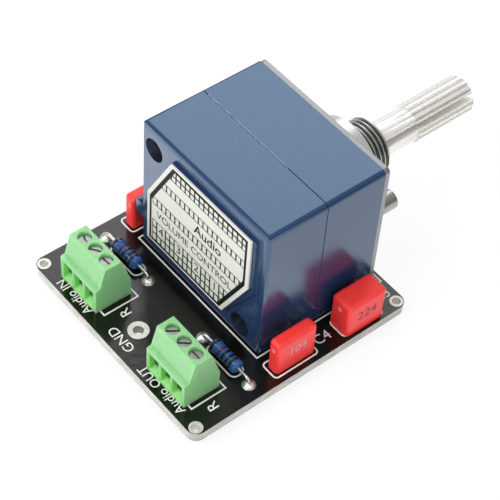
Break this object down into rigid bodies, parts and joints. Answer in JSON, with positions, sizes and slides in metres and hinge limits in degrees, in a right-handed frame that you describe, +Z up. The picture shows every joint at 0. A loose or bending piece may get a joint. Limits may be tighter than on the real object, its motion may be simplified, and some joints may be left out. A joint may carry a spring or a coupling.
{
  "type": "stereo volume control board",
  "caption": "Black circuit board with a boxed two-gang potentiometer, splined shaft, green screw terminals, film capacitors and resistors.",
  "frame": {"origin": "centre of the four corner holes, on the board's underside", "axes": "+Y along the shaft away from the potentiometer, +Z up out of the board's component side, +X to the side of the output terminal"},
  "size_m": [0.038, 0.0649, 0.0275],
  "materials": {
    "board_laminate": "satin black mask over glass laminate",
    "green_plastic": "satin",
    "case_plastic": "semi-gloss",
    "label_metal": "satin printed plate",
    "plated_steel": "bright plated",
    "bushing_metal": "bright plated thread",
    "pin_metal": "turned",
    "shaft_metal": "satin",
    "rotor_plastic": "satin",
    "spring_brass": "satin",
    "wafer_board": "matte",
    "tinned_pins": "tinned",
    "resistor_enamel": "glossy lacquer",
    "solder": "bright",
    "screw_steel": "plated",
    "clamp_brass": "plated",
    "red_plastic": "satin"
  },
  "bodies": {
    "board_assembly": {"board": "board_laminate", "in_housing": "green_plastic", "out_housing": "green_plastic", "rear_case": "case_plastic", "front_case": "case_plastic", "label_plate": "label_metal", "front_plate": "plated_steel", "bushing": "bushing_metal", "locating_pin": "pin_metal", "upper_rivet": "pin_metal", "lower_rivet": "pin_metal", "rear_wafer": "wafer_board", "front_wafer": "wafer_board", "rear_pins": "tinned_pins", "front_pins": "tinned_pins", "in_contacts": "tinned_pins", "out_contacts": "tinned_pins", "resistor_left": "resistor_enamel", "resistor_right": "resistor_enamel", "resistor_left_leads": "tinned_pins", "resistor_right_leads": "tinned_pins", "terminal_solder": "solder", "pot_solder": "solder", "capacitor_solder": "solder", "resistor_solder": "solder", "small_cap_left": "red_plastic", "small_cap_left_leads": "tinned_pins", "small_cap_right": "red_plastic", "small_cap_right_leads": "tinned_pins", "large_cap_left": "red_plastic", "large_cap_left_leads": "tinned_pins", "large_cap_right": "red_plastic", "large_cap_right_leads": "tinned_pins"},
    "shaft_assembly": {"shaft": "shaft_metal", "retaining_ring": "pin_metal", "rear_rotor": "rotor_plastic", "front_rotor": "rotor_plastic", "rear_wiper": "spring_brass", "front_wiper": "spring_brass"},
    "in_screw_1_body": {"in_screw_1": "screw_steel"},
    "in_clamp_1_body": {"in_clamp_1": "clamp_brass"},
    "in_screw_2_body": {"in_screw_2": "screw_steel"},
    "in_clamp_2_body": {"in_clamp_2": "clamp_brass"},
    "in_screw_3_body": {"in_screw_3": "screw_steel"},
    "in_clamp_3_body": {"in_clamp_3": "clamp_brass"},
    "out_screw_1_body": {"out_screw_1": "screw_steel"},
    "out_clamp_1_body": {"out_clamp_1": "clamp_brass"},
    "out_screw_2_body": {"out_screw_2": "screw_steel"},
    "out_clamp_2_body": {"out_clamp_2": "clamp_brass"},
    "out_screw_3_body": {"out_screw_3": "screw_steel"},
    "out_clamp_3_body": {"out_clamp_3": "clamp_brass"}
  },
  "joints": [
    {"name": "volume_turn", "type": "hinge", "parent": "board_assembly", "child": "shaft_assembly", "pos_m": [0, 0.01635, 0.0134], "axis": [0, 1, 0], "range_deg": [-150, 150]},
    {"name": "in_screw_1_turn", "type": "hinge", "parent": "board_assembly", "child": "in_screw_1_body", "pos_m": [-0.01264, -0.01445, 0.0083], "axis": [0, 0, 1], "range_deg": [0, 720]},
    {"name": "in_clamp_1_lift", "type": "slide", "parent": "board_assembly", "child": "in_clamp_1_body", "axis": [0, 0, 1], "range_m": [0, 0.0008]},
    {"name": "in_screw_2_turn", "type": "hinge", "parent": "board_assembly", "child": "in_screw_2_body", "pos_m": [-0.0101, -0.01445, 0.0083], "axis": [0, 0, 1], "range_deg": [0, 720]},
    {"name": "in_clamp_2_lift", "type": "slide", "parent": "board_assembly", "child": "in_clamp_2_body", "axis": [0, 0, 1], "range_m": [0, 0.0008]},
    {"name": "in_screw_3_turn", "type": "hinge", "parent": "board_assembly", "child": "in_screw_3_body", "pos_m": [-0.00756, -0.01445, 0.0083], "axis": [0, 0, 1], "range_deg": [0, 720]},
    {"name": "in_clamp_3_lift", "type": "slide", "parent": "board_assembly", "child": "in_clamp_3_body", "axis": [0, 0, 1], "range_m": [0, 0.0008]},
    {"name": "out_screw_1_turn", "type": "hinge", "parent": "board_assembly", "child": "out_screw_1_body", "pos_m": [0.00756, -0.01445, 0.0083], "axis": [0, 0, 1], "range_deg": [0, 720]},
    {"name": "out_clamp_1_lift", "type": "slide", "parent": "board_assembly", "child": "out_clamp_1_body", "axis": [0, 0, 1], "range_m": [0, 0.0008]},
    {"name": "out_screw_2_turn", "type": "hinge", "parent": "board_assembly", "child": "out_screw_2_body", "pos_m": [0.0101, -0.01445, 0.0083], "axis": [0, 0, 1], "range_deg": [0, 720]},
    {"name": "out_clamp_2_lift", "type": "slide", "parent": "board_assembly", "child": "out_clamp_2_body", "axis": [0, 0, 1], "range_m": [0, 0.0008]},
    {"name": "out_screw_3_turn", "type": "hinge", "parent": "board_assembly", "child": "out_screw_3_body", "pos_m": [0.01264, -0.01445, 0.0083], "axis": [0, 0, 1], "range_deg": [0, 720]},
    {"name": "out_clamp_3_lift", "type": "slide", "parent": "board_assembly", "child": "out_clamp_3_body", "axis": [0, 0, 1], "range_m": [0, 0.0008]}
  ],
  "couplings": [
    {"joint": "in_screw_1_turn", "follows": "in_clamp_1_lift", "rad_per_m": 15708},
    {"joint": "in_screw_2_turn", "follows": "in_clamp_2_lift", "rad_per_m": 15708},
    {"joint": "in_screw_3_turn", "follows": "in_clamp_3_lift", "rad_per_m": 15708},
    {"joint": "out_screw_1_turn", "follows": "out_clamp_1_lift", "rad_per_m": 15708},
    {"joint": "out_screw_2_turn", "follows": "out_clamp_2_lift", "rad_per_m": 15708},
    {"joint": "out_screw_3_turn", "follows": "out_clamp_3_lift", "rad_per_m": 15708}
  ]
}
